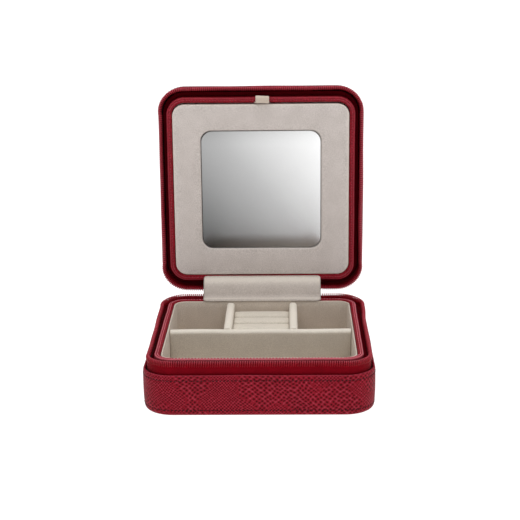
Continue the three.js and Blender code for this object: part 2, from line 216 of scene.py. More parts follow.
class Form:
    """The points, faces, grain coordinates and painted highlights of one piece, in millimetres."""

    def __init__(self):
        self.points = []
        self.faces = []
        self.grain = []
        self.wear = []
        self.count = 0

    def take(self, points, wear=0.0):
        first = self.count
        self.points.append(points.reshape(-1, 3))
        self.count += len(self.points[-1])
        self.wear.append(np.broadcast_to(wear, points.shape[:-1]).reshape(-1))
        return first

    def grid(self, points, around=False, across=False, flat=None, wear=0.0):
        """Four-sided faces. around joins the last row to the first, across the last column."""
        rows, columns = points.shape[:2]
        index = self.take(points, wear) + np.arange(rows * columns).reshape(rows, columns)
        if around:
            index = np.concatenate([index, index[:1]])
            points = np.concatenate([points, points[:1]])
        if across:
            index = np.concatenate([index, index[:, :1]], 1)
            points = np.concatenate([points, points[:, :1]], 1)
        if flat is None:
            grain = np.stack(np.meshgrid(lengths(points, 0), lengths(points, 1), indexing="ij"), -1)
        else:
            grain = points[..., list(flat)]
        self.faces += quads(index).reshape(-1, 4).tolist()
        self.grain.append(quads(grain).reshape(-1, 2))

    def cap(self, loop, flat=(0, 1), wear=0.0):
        """A fan that closes a loop of points."""
        points = np.concatenate([loop, loop.mean(0)[None]])
        first = self.take(points, wear)
        ring = first + np.arange(len(loop))
        middle = np.full(len(loop), first + len(loop))
        self.faces += np.stack([ring, np.roll(ring, -1), middle], -1).tolist()
        edge = loop[:, list(flat)]
        centre = np.broadcast_to(points[-1, list(flat)], edge.shape)
        self.grain.append(np.stack([edge, np.roll(edge, -1, 0), centre], 1).reshape(-1, 2))

    def tubes(self, points, wear=0.0):
        """Closed tubes from an array of [tube, ring, side] points."""
        count, rings, sides = points.shape[:3]
        index = self.take(points, wear) + np.arange(count * rings * sides).reshape(count, rings, sides)
        index = np.concatenate([index, index[:, :, :1]], 2)
        corners = [index[:, :-1, :-1], index[:, :-1, 1:], index[:, 1:, 1:], index[:, 1:, :-1]]
        self.faces += np.stack(corners, -1).reshape(-1, 4).tolist()
        self.faces += index[:, 0, -1:0:-1].tolist()
        self.faces += index[:, -1, :-1].tolist()
        run = np.arange(rings)[None, :, None] + 0.0 * index
        turn = np.arange(sides + 1)[None, None, :] + 0.0 * index
        grain = np.stack([run, turn], -1)
        corners = [grain[:, :-1, :-1], grain[:, :-1, 1:], grain[:, 1:, 1:], grain[:, 1:, :-1]]
        self.grain.append(np.stack(corners, -2).reshape(-1, 2))
        self.grain.append(np.zeros((2 * count * sides, 2)))


def piece(name, form, look, body, node=None, half="base", sharp=None, rides=True):
    """A visible piece on the named body. It stands in for a CAD node where one is given."""
    points = PLACES[half](np.concatenate(form.points)) / 1000
    mesh = bpy.data.meshes.new(name)
    mesh.from_pydata(points.tolist(), [], form.faces)
    grain = mesh.uv_layers.new(name="grain")
    grain.data.foreach_set("uv", (np.concatenate(form.grain) / 1000).reshape(-1).astype(np.float32))
    wear = mesh.attributes.new("wear", "FLOAT", "POINT")
    wear.data.foreach_set("value", np.concatenate(form.wear).astype(np.float32))
    work = bmesh.new()
    work.from_mesh(mesh)
    bmesh.ops.remove_doubles(work, verts=work.verts, dist=2e-6)
    bmesh.ops.recalc_face_normals(work, faces=work.faces)
    work.to_mesh(mesh)
    work.free()
    mesh.shade_smooth()
    if sharp is not None:
        mesh.set_sharp_from_angle(angle=math.radians(sharp))
    mesh.materials.append(look)
    made = bpy.data.objects.new(name, mesh)
    bpy.context.scene.collection.objects.link(made)
    if node is not None:
        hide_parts(node)
    if rides:
        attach(made, body)
    return made


# ---- builders shared by several pieces ----
def soft_block(form, low, high, radius, edge, axis=2, push=None, quarter=8, straight=16,
               runs=10, rings=6, rub=0.0):
    """A block in the box low to high. Its sections across axis are rounded rectangles of that corner
    radius, and its two ends are rounded over by edge. push(points, place) reshapes it, where place
    runs from -1 to 1 along each side. rub is how strongly a painted highlight lightens
    its upper edges, where the light from above falls."""
    middle, half = (low + high) / 2, (high - low) / 2
    b, c = (axis + 1) % 3, (axis + 2) % 3
    end = half[axis]
    first = [(-end, edge, scale) for scale in np.linspace(0.04, 1, rings, endpoint=False)]
    for angle in np.linspace(0, math.pi / 2, 6):
        first.append((-end + edge * (1 - math.cos(angle)), edge * (1 - math.sin(angle)), 1.0))
    between = [(place, 0.0, 1.0) for place in np.linspace(edge - end, end - edge, runs + 2)[1:-1]]
    last = [(-place, inset, scale) for place, inset, scale in reversed(first)]
    rows = []
    for place, inset, scale in first + between + last:
        loop = rounded(half[b] - inset, half[c] - inset, radius - inset, quarter, straight) * scale
        row = np.zeros((len(loop), 3))
        row[:, axis] = place
        row[:, [b, c]] = loop
        rows.append(row)
    rows = np.array(rows)
    wear = rub * smooth((rows[..., 2] / half[2] - 0.8) / 0.15)
    if push is not None:
        rows = push(rows.copy(), rows / half)
    rows = rows + middle
    flat = (b, c) if half[axis] < min(half[b], half[c]) else None
    form.grid(rows, across=True, flat=flat, wear=wear)
    form.cap(rows[0], (b, c))
    form.cap(rows[-1], (b, c))


def fitted(node, radius, edge, axis=2, push=None, grow=0.0, **fine):
    """A soft block that fills a CAD node's box, grown by so much on every side."""
    form = Form()
    low, high = span(node)
    soft_block(form, low - grow, high + grow, radius, edge, axis, push, **fine)
    return form


def spokes(first, second, sides):
    """Directions round a wire, sides of them at each of its points, from first towards second."""
    angle = np.arange(sides) * 2 * math.pi / sides
    return np.cos(angle)[:, None] * first[:, None] + np.sin(angle)[:, None] * second[:, None]


def threads(form, middle, heading, out, length=STITCH_LENGTH):
    """Short stitches. middle, heading and out hold one row for each stitch."""
    place = np.linspace(-1, 1, 7)
    swell = np.array([0.35, 0.8, 1, 1, 1, 0.8, 0.35]) * STITCH_RADIUS
    lift = STITCH_RADIUS * (1.2 * (1 - place**2) - 0.35)
    spine = middle[:, None] + heading[:, None] * (place * length / 2)[None, :, None]
    spine = spine + out[:, None] * lift[None, :, None]
    ring = spokes(np.cross(out, heading), out, 6)
    form.tubes(spine[:, :, None] + ring[:, None] * swell[None, :, None, None])


def swept(form, path, radius, sides):
    """A round wire along the points of path; radius may change along it."""
    tangent = unit(np.gradient(path, axis=0))
    across = unit(np.cross(tangent, [0.3, 0.5, 0.81]))
    ring = spokes(across, np.cross(tangent, across), sides)
    radius = np.broadcast_to(radius, len(path))
    form.tubes((path[:, None] + ring * radius[:, None, None])[None])


def distances(path):
    """How far along the path each of its points lies."""
    return np.concatenate([[0], np.cumsum(np.linalg.norm(np.diff(path, axis=0), axis=1))])


def curve(points, steps):
    """A smooth curve through a few points, with even steps."""
    points = np.array(points, float)
    knots = np.concatenate([2 * points[:1] - points[1:2], points, 2 * points[-1:] - points[-2:-1]])
    t = np.linspace(0, len(points) - 1, 24 * len(points))
    k = np.minimum(t.astype(int), len(points) - 2)
    f = (t - k)[:, None]
    a, b, c, d = knots[k], knots[k + 1], knots[k + 2], knots[k + 3]
    bend = (2 * a - 5 * b + 4 * c - d) * f**2 + (3 * b - a - 3 * c + d) * f**3
    dense = 0.5 * (2 * b + (c - a) * f + bend)
    run = distances(dense)
    even = np.linspace(0, run[-1], steps + 1)
    return np.stack([np.interp(even, run, dense[:, i]) for i in range(points.shape[1])], -1)


def strap(form, path, half_width, thick, corner=1.0, across=40, ripple=None, wear=0.0):
    """A strap across X whose middle line in the YZ plane is path. thick may change along it."""
    tangent = unit(np.gradient(path, axis=0))
    normal = np.stack([tangent[:, 1], -tangent[:, 0]], -1)
    run = distances(path)
    near = np.minimum(run, run[-1] - run)
    lost = corner - np.sqrt(np.clip(corner**2 - np.clip(corner - near, 0, None) ** 2, 0, None))
    thick = np.broadcast_to(thick, len(path))
    place = np.linspace(-1, 1, across + 1)
    top = np.stack([place, np.sqrt(1 - np.abs(place) ** 60)], -1)
    loop = np.concatenate([top, top[-2:0:-1] * [1, -1]])
    x = (half_width - lost)[:, None] * loop[None, :, 0]
    off = thick[:, None] / 2 * loop[None, :, 1]
    if ripple is not None:
        off = off + ripple(x, run[:, None] / run[-1])
    plane = path[:, None] + normal[:, None] * off[..., None]
    rows = np.concatenate([x[..., None], plane], -1)
    form.grid(rows, across=True, wear=wear)
    form.cap(rows[0], (0, 2))
    form.cap(rows[-1], (0, 2))


def standing(loop, depth, x=0.0, z=0.0):
    """A loop of points drawn across X and Z, set at the depth given."""
    return np.column_stack([loop[:, 0] + x, np.full(len(loop), depth), loop[:, 1] + z])


# ---- materials ----
def colour(red, green, blue):
    """A colour given as a screen shows it, in the shader's linear light."""
    linear = []
    for value in (red, green, blue):
        value = value / 255
        linear.append(value / 12.92 if value <= 0.04045 else ((value + 0.055) / 1.055) ** 2.4)
    return (*linear, 1.0)


class Look:
    """A Principled material whose colour, roughness and bump come from patterns."""

    def __init__(self, name, roughness, specular=0.5, sheen=0.0, metallic=0.0):
        self.made = bpy.data.materials.new(name)
        self.made.use_nodes = True
        self.tree = self.made.node_tree
        self.shader = self.tree.nodes["Principled BSDF"]
        self.set("Roughness", roughness)
        self.set("Specular IOR Level", specular)
        self.set("Sheen Weight", sheen)
        self.set("Sheen Roughness", 0.45)
        self.set("Metallic", metallic)
        self.bumped = None

    def set(self, socket, value):
        if isinstance(value, bpy.types.NodeSocket):
            self.tree.links.new(value, self.shader.inputs[socket])
        else:
            self.shader.inputs[socket].default_value = value

    def node(self, kind, inputs=(), **settings):
        made = self.tree.nodes.new(kind)
        for key, value in settings.items():
            setattr(made, key, value)
        for key, value in dict(inputs).items():
            if isinstance(value, bpy.types.NodeSocket):
                self.tree.links.new(value, made.inputs[key])
            else:
                made.inputs[key].default_value = value
        return made

    def grain(self):
        return self.node("ShaderNodeUVMap", uv_map="grain").outputs["UV"]

    def place(self):
        return self.node("ShaderNodeTexCoord").outputs["Object"]

    # The attribute that says how far a painted highlight lightens the colour at each point.
    def wear(self):
        return self.node("ShaderNodeAttribute", attribute_name="wear").outputs["Fac"]

    # In the patterns, size is how big one feature is, in millimetres.
    def noise(self, vector, size, detail=3.0, rough=0.55):
        inputs = {"Vector": vector, "Scale": 1000 / size, "Detail": detail, "Roughness": rough}
        return self.node("ShaderNodeTexNoise", inputs).outputs["Fac"]

    def cells(self, vector, size, randomness=1.0):
        inputs = {"Vector": vector, "Scale": 1000 / size, "Randomness": randomness}
        return self.node("ShaderNodeTexVoronoi", inputs, voronoi_dimensions="2D").outputs["Distance"]

    def waves(self, vector, size, direction):
        inputs = {"Vector": vector, "Scale": 1000 / size / 3.2}
        return self.node("ShaderNodeTexWave", inputs, bands_direction=direction).outputs["Fac"]

    def ramp(self, factor, stops):
        made = self.node("ShaderNodeValToRGB", {"Fac": factor})
        elements = made.color_ramp.elements
        while len(elements) < len(stops):
            elements.new(0.5)
        for element, (place, value) in zip(elements, stops):
            element.position = place
            element.color = value if isinstance(value, tuple) else (value, value, value, 1.0)
        return made.outputs["Color"]

    def mix(self, factor, first, second, blend="MIX"):
        made = self.node("ShaderNodeMix", data_type="RGBA", blend_type=blend)
        for place, value in ((0, factor), (6, first), (7, second)):
            socket = made.inputs[place]
            if isinstance(value, bpy.types.NodeSocket):
                self.tree.links.new(value, socket)
            else:
                socket.default_value = value
        return made.outputs[2]

    def clouded(self, skin, vector, size, low, high):
        """The colour with slow dark and light patches over it."""
        cloud = self.ramp(self.noise(vector, size), [(0.3, low), (0.7, high)])
        return self.mix(1.0, skin, cloud, "MULTIPLY")

    def highlighted(self, skin, rubbed):
        """Sets the colour, going over to the highlight colour where the attribute marks a painted
        highlight.
        """
        self.set("Base Color", self.mix(self.wear(), skin, rubbed))

    def shade(self, factor, stops):
        self.set("Base Color", self.ramp(factor, stops))

    def gloss(self, factor, stops):
        self.set("Roughness", self.ramp(factor, stops))

    def bump(self, height, depth):
        """Raises the surface by up to depth millimetres where height is 1."""
        inputs = {"Height": height, "Distance": depth / 1000, "Strength": 1.0}
        if self.bumped is not None:
            inputs["Normal"] = self.bumped
        self.bumped = self.node("ShaderNodeBump", inputs).outputs["Normal"]
        self.set("Normal", self.bumped)


def lizard_leather():
    """Embossed lizard: rows of small rounded scales, dark on top, in a paler net of creases."""
    look = Look("lizard_leather", 0.5, specular=0.07)
    grain = look.grain()
    wander = look.node("ShaderNodeTexNoise", {"Vector": grain, "Scale": 60.0, "Detail": 2.0})
    bent = look.mix(0.0055, grain, wander.outputs["Color"])
    turned = look.node("ShaderNodeMapping", {"Vector": bent})
    turned.inputs["Rotation"].default_value = (0, 0, math.pi / 4)
    turned.inputs["Scale"].default_value = (0.93, 1.07, 1.0)
    rows = turned.outputs["Vector"]
    large = look.cells(rows, 1.75, 0.3)
    small = look.cells(rows, 1.15, 0.2)
    where = look.ramp(look.noise(grain, 24, 1.0), [(0.47, 0.0), (0.53, 1.0)])
    scale = look.mix(where, large, small)
    # The paler net stands partly for the leather's two-tone finish and partly for light caught on the
    # crease edges, a painted highlight.
    dark, middle, pale = colour(74, 0, 6), colour(136, 18, 34), colour(160, 50, 66)
    skin = look.ramp(scale, [(0.2, dark), (0.33, middle), (0.46, middle), (0.62, pale)])
    # colour(176, 66, 82) is a painted highlight, laid where the piece marks one: the band's top edge,
    # which is partly the leather's painted edge.
    look.highlighted(look.clouded(skin, grain, 12, 0.86, 1.06), colour(176, 66, 82))
    look.gloss(scale, [(0.1, 0.44), (0.6, 0.64)])
    look.bump(look.ramp(scale, [(0.05, 1.0), (0.3, 0.85), (0.6, 0.0)]), 0.1)
    look.bump(look.noise(grain, 0.35, 4.0), 0.02)
    return look.made


def collar_leather():
    look = Look("collar_leather", 0.42, specular=0.14)
    grain = look.grain()
    pebble = look.cells(grain, 1.0)
    skin = look.ramp(pebble, [(0.15, colour(106, 0, 14)), (0.6, colour(144, 20, 37))])
    # colour(214, 112, 124) is a painted highlight, laid where the piece marks one.
    look.highlighted(look.clouded(skin, grain, 9, 0.9, 1.08), colour(214, 112, 124))
    look.gloss(pebble, [(0.1, 0.34), (0.6, 0.5)])
    look.bump(look.ramp(pebble, [(0.1, 1.0), (0.65, 0.0)]), 0.04)
    look.bump(look.noise(grain, 0.3, 4.0), 0.012)
    return look.made


def tape_weave():
    look = Look("tape_weave", 0.8, specular=0.05, sheen=0.03)
    grain = look.grain()
    warp = look.waves(grain, 0.42, "X")
    weft = look.waves(grain, 0.5, "Y")
    cloth = look.mix(0.5, warp, weft)
    shade = look.ramp(cloth, [(0.2, colour(92, 0, 10)), (0.8, colour(142, 5, 24))])
    look.set("Base Color", look.clouded(shade, grain, 5, 0.88, 1.08))
    look.gloss(cloth, [(0.0, 0.9), (1.0, 0.72)])
    look.bump(cloth, 0.05)
    return look.made


def coil_nylon():
    look = Look("coil_nylon", 0.36, specular=0.18)
    place = look.place()
    dye = look.ramp(look.noise(place, 3), [(0.3, colour(126, 0, 14)), (0.7, colour(150, 4, 24))])
    # colour(214, 98, 114) is a painted highlight, laid where the piece marks one.
    look.highlighted(dye, colour(214, 98, 114))
    look.gloss(look.noise(place, 1.2), [(0.3, 0.28), (0.7, 0.42)])
    look.bump(look.noise(place, 0.4), 0.012)
    return look.made


def thread(name, dark, light):
    look = Look(name, 0.6, specular=0.15, sheen=0.1)
    place = look.place()
    look.shade(look.noise(place, 0.6, 2.0), [(0.3, dark), (0.7, light)])
    look.gloss(look.noise(place, 0.3), [(0.3, 0.5), (0.7, 0.7)])
    look.bump(look.noise(place, 0.15, 2.0), 0.03)
    return look.made


def suede(name, dark, light):
    """Brushed microfibre: a fine felted nap with soft strokes where it was last brushed."""
    look = Look(name, 0.92, specular=0.12, sheen=0.22)
    look.set("Sheen Tint", colour(255, 246, 236))
    place = look.place()
    nap = look.noise(place, 0.5, 5.0, 0.7)
    brushed = look.noise(place, 7, 4.0, 0.6)
    tone = look.mix(0.16, nap, brushed)
    shade = look.ramp(tone, [(0.36, dark), (0.62, light)])
    # colour(242, 234, 222) is a painted highlight, laid where the piece marks one.
    look.highlighted(shade, colour(242, 234, 222))
    look.gloss(nap, [(0.3, 0.98), (0.7, 0.86)])
    look.bump(nap, 0.05)
    look.bump(look.noise(place, 1.6), 0.06)
    return look.made


def bookboard():
    look = Look("bookboard", 0.9, specular=0.01)
    place = look.place()
    fibre = look.noise(place, 0.8, 5.0, 0.7)
    look.shade(fibre, [(0.3, colour(82, 0, 10)), (0.7, colour(110, 4, 20))])
    look.gloss(fibre, [(0.3, 0.95), (0.7, 0.8)])
    look.bump(fibre, 0.06)
    return look.made


def ribbon():
    look = Look("ribbon", 0.75, specular=0.2, sheen=0.3)
    grain = look.grain()
    ribs = look.waves(grain, 0.45, "X")
    look.shade(ribs, [(0.2, colour(182, 166, 150)), (0.8, colour(222, 208, 193))])
    look.gloss(ribs, [(0.0, 0.82), (1.0, 0.66)])
    look.bump(ribs, 0.07)
    return look.made


def mirror_silver():
    """Silvered glass with a painted reflection, from dim at the lower left to bright at the upper right.
    """
    look = Look("mirror_silver", 0.24, metallic=1.0)
    low, high = span("mirror_glass")
    turned = look.node("ShaderNodeMapping", {"Vector": look.place()})
    wide, _, tall = high - low
    turned.inputs["Location"].default_value = (-low[0] / wide, 0, -low[2] / tall)
    turned.inputs["Scale"].default_value = (1000 / wide, 1, 1000 / tall)
    parts = look.node("ShaderNodeSeparateXYZ", {"Vector": turned.outputs["Vector"]})
    lean = look.node("ShaderNodeMath", {0: parts.outputs["X"], 1: 0.55}, operation="MULTIPLY")
    rise = look.node("ShaderNodeMath", {0: parts.outputs["Z"], 1: 0.45}, operation="MULTIPLY")
    painted_reflection = look.node("ShaderNodeMath", {0: lean.outputs[0], 1: rise.outputs[0]}, operation="ADD")
    # A painted reflection, fixed to the glass: dim at the lower left, bright at the upper right.
    dim, middle, bright = colour(86, 87, 87), colour(174, 174, 174), colour(244, 244, 244)
    look.shade(painted_reflection.outputs[0], [(0.0, dim), (0.5, middle), (1.0, bright)])
    look.gloss(look.noise(look.place(), 30, 2.0), [(0.3, 0.22), (0.7, 0.26)])
    return look.made


def plated_metal():
    look = Look("plated_metal", 0.25, metallic=1.0)
    place = look.place()
    scuff = look.noise(place, 1.6, 6.0, 0.7)
    look.shade(scuff, [(0.3, colour(196, 190, 182)), (0.7, colour(226, 221, 213))])
    look.gloss(scuff, [(0.3, 0.16), (0.7, 0.34)])
    look.bump(look.noise(place, 0.3), 0.01)
    return look.made


LIZARD = lizard_leather()
COLLAR = collar_leather()
TAPE = tape_weave()
COIL = coil_nylon()
# The band and spine thread is red, darkened here to stand for the shade in its stitch holes: painted
# shade.
DARK_THREAD = thread("dark_thread", colour(44, 0, 4), colour(70, 3, 12))
ROSE_THREAD = thread("rose_thread", colour(136, 30, 44), colour(178, 66, 80))
PALE_THREAD = thread("pale_thread", colour(196, 84, 100), colour(226, 124, 136))
PANEL_SUEDE = suede("panel_suede", colour(180, 171, 165), colour(214, 205, 200))
# The panel's suede made darker: painted shade for the gusset, which lies under the lid.
GUSSET_SUEDE_PAINTED_SHADE = suede("gusset_suede", colour(170, 160, 152), colour(202, 192, 184))
LINING_SUEDE = suede("lining_suede", colour(188, 175, 162), colour(214, 202, 189))
CUSHION_SUEDE = suede("cushion_suede", colour(188, 179, 166), colour(216, 208, 194))
BOARD = bookboard()
RIBBON = ribbon()
MIRROR = mirror_silver()
METAL = plated_metal()


# ---- the two half cases ----
def evenly(spacing, start=0.0, end=None):
    """Distances round the outline, closed on itself unless an end is given."""
    if end is None:
        return np.linspace(0, ROUND, round(ROUND / spacing), endpoint=False)
    return np.linspace(start, end, round((end - start) / spacing) + 1)


def rim_at(spots, height):
    """Points on the outline at one height, and the outward directions there."""
    point, out = rim(spots)
    level = np.zeros((len(spots), 1))
    return np.concatenate([point, level + height], -1), np.concatenate([out, level], -1)


def full_size(points):
    """Rows of a section that keep to the outline, rather than shrinking towards the middle."""
    return [(inset, height, 1.0) for inset, height in points]


# How far in mm the zip's teeth lean out at the hinge side, at the front and at the sides, how far
# they are pulled up towards the other half beside the spine, and how far the corners next to the
# hinge are pushed out, left and right.
LEAN = {"base": (1.5, 0.0, 0.0, 1.7, (0.8, 1.2)), "lid": (2.6, 2.1, 0.5, 0.3, (0.0, 0.0))}


def leaning(half):
    """How the zip's tape leans outwards, more towards its teeth, and wavers along its length."""
    behind, before, beside, pulled, corners = LEAN[half]

    def shape(along, inset, height, out):
        rise = clamp((height - BAND_TOP + 2) / (MOUTH - BAND_TOP + 2)) ** 1.5
        from_hinge = np.minimum(along, ROUND - along)
        past_slider = smooth((from_hinge - 31) / 3)
        past_end = smooth((from_hinge - 25) / 5)
        toward_hinge = clamp(out[..., 1])
        lean = behind * toward_hinge**0.7 + before * clamp(-out[..., 1]) ** 0.7
        lean = lean + beside * out[..., 0] ** 2 + drift(along, 7 if half == "base" else 8, 0.2)
        lean = lean + np.where(along < ROUND / 2, *corners) * bell(from_hinge - 68, 24)
        return inset - rise * past_slider * lean, height + rise * past_end * pulled * toward_hinge**2

    return shape


def comes_together(made):
    """Gives the lid's zip piece a mesh of its own."""
    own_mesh(made)


# mm the walls draw in from the mouth to the outer skin at the sides, the same at the front, and at
# the mouth itself; the hinge side stays upright, where the spine is glued on
DRAFT = {"base": (0.2, 0.2, 0.0), "lid": (1.2, 2.7, 0.5)}
SKIN_ROUND = {"base": 2.2, "lid": 4.6}  # how far the outer edge is rounded over


def drawn_in(half, height, out):
    """How far the wall stands inside the outline at this height and facing this way out."""
    sides, front, mouth = DRAFT[half]
    ahead = clamp(-out[..., 1]) ** 2
    behind = clamp(out[..., 1]) ** 2
    reach = sides + (front - sides) * ahead
    return (mouth + reach * (1 - clamp(height / BAND_TOP))) * (1 - behind)


def leather_band(half):
    """The half case's side in padded leather, with a row of stitches near each edge."""
    foot = SKIN_ROUND[half]
    seams = (foot + 0.9, BAND_TOP - SEAM_FROM_EDGE)
    lip = LEATHER / 2

    def puff(height):
        return 0.32 * np.sin(math.pi * (height - foot) / (BAND_TOP - foot)) ** 0.7

    side = np.linspace(foot, BAND_TOP - lip, 44)[1:-1]
    groove = sum(0.24 * bell(side - seam, 0.38) for seam in seams)
    section = np.concatenate([
        arc((foot, foot), foot, 270, 180, 10),
        np.stack([groove - puff(side), side], -1),
        arc((lip, BAND_TOP - lip), lip, 180, 0, 8),
        arc((foot, foot), foot - LEATHER, 180, 270, 5),
    ])
    seed = 1 if half == "base" else 2

    def shape(along, inset, height, out):
        wave = drift(along, seed, 0.09) * smooth(height / 6)
        sag = drift(along, seed + 20, 0.07) * smooth((height - 12) / 8)
        return inset - wave + drawn_in(half, height, out), height + sag

    along = evenly(1.2)
    # The top outer edge is lighter: partly the leather's painted edge, partly a painted highlight.
    highlighted = 0.4 * bell(section[:, 1] - BAND_TOP, 0.35) * (section[:, 0] < 0.8)
    form = Form()
    form.grid(wall(along, section, shape), around=True, across=True, wear=highlighted[None])
    piece(f"{half}_lizard_band", form, LIZARD, half, f"{half}_leather_band", half)

    stitching = Form()
    for seam in seams:
        spots = evenly(STITCH_PITCH)
        line, out = rim_at(spots, seam)
        proud = puff(seam) - 0.22 + drift(spots, seed, 0.09) * smooth(seam / 6)
        proud = proud - drawn_in(half, seam, out)
        threads(stitching, line + out * proud[:, None], np.cross([0, 0, 1], out), out)
    piece(f"{half}_band_stitching", stitching, DARK_THREAD, half, half=half)


def outer_panel(half, name, node, crown):
    """The leather over the base's underside or the lid's top, with a padded crown on the lid."""
    start = SKIN_ROUND[half] + 0.05
    section = full_size([(start, LEATHER), (start, 0.5)])
    section += full_size(arc((start + 0.5, 0.5), 0.5, 180, 270, 3)[1:])
    section += full_size((start + further, 0.0) for further in (1.2, 2.2, 3.4, 5.0, 7.0))
    section += [(start + 7.0, 0.0, scale) for scale in np.linspace(1, 0.03, 30)[1:]]

    def shape(along, inset, height, out):
        return inset + drawn_in(half, 0.0, out), height

    points = wall(evenly(2.0), np.array(section), shape)
    reach = CASE_HALF - start
    swell = 1 - clamp(np.abs(points[..., :2]) / reach) ** 3.5
    points[..., 2] -= crown * swell.prod(-1) * (points[..., 2] < 0.4)
    form = Form()
    form.grid(points, around=True, flat=(0, 1))
    form.cap(points[:, -1])
    form.cap(points[:, 0])
    made = piece(name, form, LIZARD, half, node, half)


def zip_tape(half):
    """The woven tape that carries the teeth, rounded over along its top."""
    top = MOUTH - 1.2
    outside = np.stack([np.full(14, TAPE_INSET), np.linspace(TAPE_FOOT + 1, top - 0.2, 14)], -1)
    over = arc((TAPE_INSET + TAPE_THICK / 2, top - 0.2), TAPE_THICK / 2, 180, 0, 6)[1:-1]
    inside = outside[::-1] + [TAPE_THICK, 0]
    section = np.concatenate([outside, over, inside])
    along = evenly(1.3, ZIP_END, ROUND - ZIP_END)
    points = wall(along, section, leaning(half))
    form = Form()
    form.grid(points, across=True)
    form.cap(points[0], (1, 2))
    form.cap(points[-1], (1, 2))
    made = piece(f"{half}_woven_tape", form, TAPE, half, f"{half}_zip_tape", half)
    if half == "lid":
        comes_together(made)


def zip_coil(half):
    """One nylon monofilament wound into teeth, with flattened heads along the mouth."""
    start, end = ZIP_END + 0.4, ROUND - ZIP_END - 0.4
    turns = round((end - start) / COIL_PITCH)
    phase = np.linspace(0, 2 * math.pi * turns, turns * 14 + 1)
    step = (end - start) / phase[-1]
    along = start + step * (phase + 1.2 * np.cos(phase) - 0.3 * np.sin(2 * phase))
    reach_in = COIL_THICK / 2 - COIL_WIRE
    reach_up = (MOUTH - COIL_FOOT) / 2 - COIL_WIRE
    inset = COIL_INSET + COIL_THICK / 2 - reach_in * np.cos(phase)
    height = (MOUTH + COIL_FOOT) / 2 + reach_up * np.sin(phase)
    point, out = rim(along)
    inset, height = leaning(half)(along, inset, height, out)
    path = np.concatenate([point - out * inset[:, None], height[:, None]], -1)
    tangent = unit(np.gradient(path, axis=0))
    away = np.concatenate([out * np.cos(phase)[:, None], np.sin(phase)[:, None]], -1)
    side = unit(np.cross(tangent, away))
    away = np.cross(side, tangent)
    heads = clamp(np.sin(phase))
    ring = spokes(away, side * (1 + 0.22 * heads**2)[:, None], 6)
    # A painted highlight on the heads along the mouth and, on the lid, on the outer legs too, laid only
    # on the sides of the wire that face away from the coil's middle.
    rub = 0.45 * heads
    if half == "lid":
        rub = rub + 0.5 * clamp(np.cos(phase))
    rub = rub[:, None] * clamp(np.cos(np.arange(6) * math.pi / 3))
    form = Form()
    form.tubes((path[:, None] + ring * COIL_WIRE)[None], wear=rub[None])
    made = piece(f"{half}_nylon_coil", form, COIL, half, f"{half}_zip_coil", half)
    if half == "lid":
        comes_together(made)


def collar(half):
    """The leather-covered inner wall, with its turned top edge and a line of stitches."""
    outer, inner = COLLAR_INSET - 0.2, COLLAR_INSET + COLLAR_THICK
    lip = 0.85
    seam = outer + 1.6
    across = np.linspace(outer + lip, inner - lip, 10)[1:-1]
    dip = 0.3 * bell(across - seam, 0.22) + 0.45 * smooth((across - seam + 0.3) / 0.9)
    foot = np.linspace(COLLAR_FOOT, MOUTH - lip, 16)
    section = np.concatenate([
        np.stack([np.full(16, outer), foot], -1),
        arc((outer + lip, MOUTH - lip), lip, 180, 90, 6)[1:],
        np.stack([across, MOUTH - dip], -1),
        arc((inner - lip, MOUTH - 0.45 - lip), lip, 90, 0, 6),
        np.stack([np.full(4, inner), np.linspace(MOUTH - 3, COLLAR_FOOT, 4)], -1),
    ])
    seed = 11 if half == "base" else 12

    def shape(along, inset, height, out):
        high = smooth((height - BOARD_TOP) / (MOUTH - BOARD_TOP))
        return inset - drift(along, seed, 0.08) * high, height + drift(along, seed + 5, 0.05) * high

    # A painted highlight along the collar's top outer edge: strong on the base, whose collar top faces
    # the light above, faint on the lid.
    rub = 0.8 if half == "base" else 0.12
    highlighted = rub * bell(section[:, 0] - outer - 0.45, 0.4) * (section[:, 1] > MOUTH - 1.2)
    form = Form()
    form.grid(wall(evenly(1.2), section, shape), around=True, across=True, wear=highlighted[None])
    piece(f"{half}_turned_collar", form, COLLAR, half, f"{half}_collar", half)

    spots = evenly(STITCH_PITCH * 0.86)
    line, out = rim_at(spots, MOUTH - 0.2)
    middle = line - out * (seam - drift(spots, seed, 0.08))[:, None]
    up = np.broadcast_to([0.0, 0.0, 1.0], middle.shape)
    stitching = Form()
    threads(stitching, middle, np.cross(up, out), up, length=STITCH_LENGTH * 0.9)
    # The base's collar stitches take the paler thread, a painted highlight, since that collar's top
    # faces the light above; the lid's take the rose thread.
    strand = PALE_THREAD if half == "base" else ROSE_THREAD
    piece(f"{half}_collar_stitching", stitching, strand, half, half=half)


def lining(half, top):
    """The suede box inside the collar: rolled rim, slightly padded walls and a filleted floor."""
    outer, inner = LINING_INSET, LINING_INSET + LINING_THICK
    lip = 0.34
    fillet = 1.3
    walls = np.linspace(top - lip, FLOOR + fillet, 24)[1:-1]
    belly = 0.22 * np.sin(math.pi * (walls - FLOOR) / (top - FLOOR)) ** 0.8
    thin = (LINING_THICK - 2 * lip) * bell(top - lip - walls, 1.6)
    section = full_size([(outer, COLLAR_FOOT), (outer, (COLLAR_FOOT + top) / 2)])
    section += full_size(arc((outer + lip, top - lip), lip, 180, 0, 8))
    section += full_size(zip(inner + belly - thin, walls))
    section += full_size(arc((inner + fillet, FLOOR + fillet), fillet, 180, 270, 6))
    section += [(inner + fillet, FLOOR, scale) for scale in np.linspace(1, 0.03, 16)[1:]]
    section = np.array(section)
    # A thin painted highlight along the rim.
    highlighted = 0.12 * bell(section[:, 1] - top, 0.35)
    points = wall(evenly(1.5), section)
    form = Form()
    form.grid(points, around=True, wear=highlighted[None])
    form.cap(points[:, -1])
    form.cap(points[:, 0])
    piece(f"{half}_lining_box", form, LINING_SUEDE, half, f"{half}_suede_lining", half)


